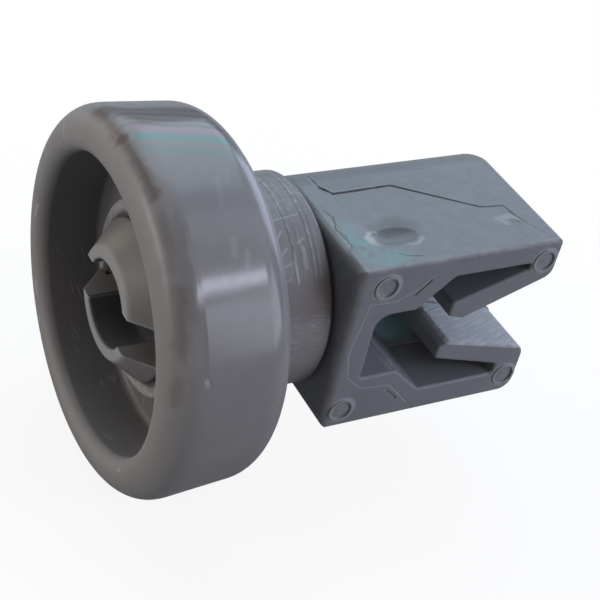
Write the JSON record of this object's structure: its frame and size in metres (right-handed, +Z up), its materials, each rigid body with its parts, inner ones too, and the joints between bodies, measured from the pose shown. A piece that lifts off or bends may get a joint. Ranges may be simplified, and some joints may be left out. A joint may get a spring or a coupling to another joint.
{
  "type": "dishwasher basket wheel",
  "caption": "Small grey plastic wheel that turns on the snap-in stub axle of a clip bracket, which hooks onto the wire of a dishwasher basket.",
  "frame": {"origin": "where the middle of the basket's wire lies in the clip: on the wheel's axle line, in the middle of the pocket", "axes": "+Y along the axle line from the wheel towards the mouth of the clip, +X along the wire, towards the flat side of the bracket, +Z up"},
  "size_m": [0.04, 0.0467, 0.04],
  "materials": {
    "wheel_plastic": "satin, lightly worn",
    "bracket_plastic": "satin, stippled by the mould"
  },
  "bodies": {
    "bracket": {"clip_bracket": "bracket_plastic"},
    "wheel": {"wheel": "wheel_plastic"}
  },
  "joints": [
    {"name": "wheel_spin", "type": "hinge", "parent": "bracket", "child": "wheel", "pos_m": [0, -0.02315, 0], "axis": [0, 1, 0], "continuous": true}
  ]
}
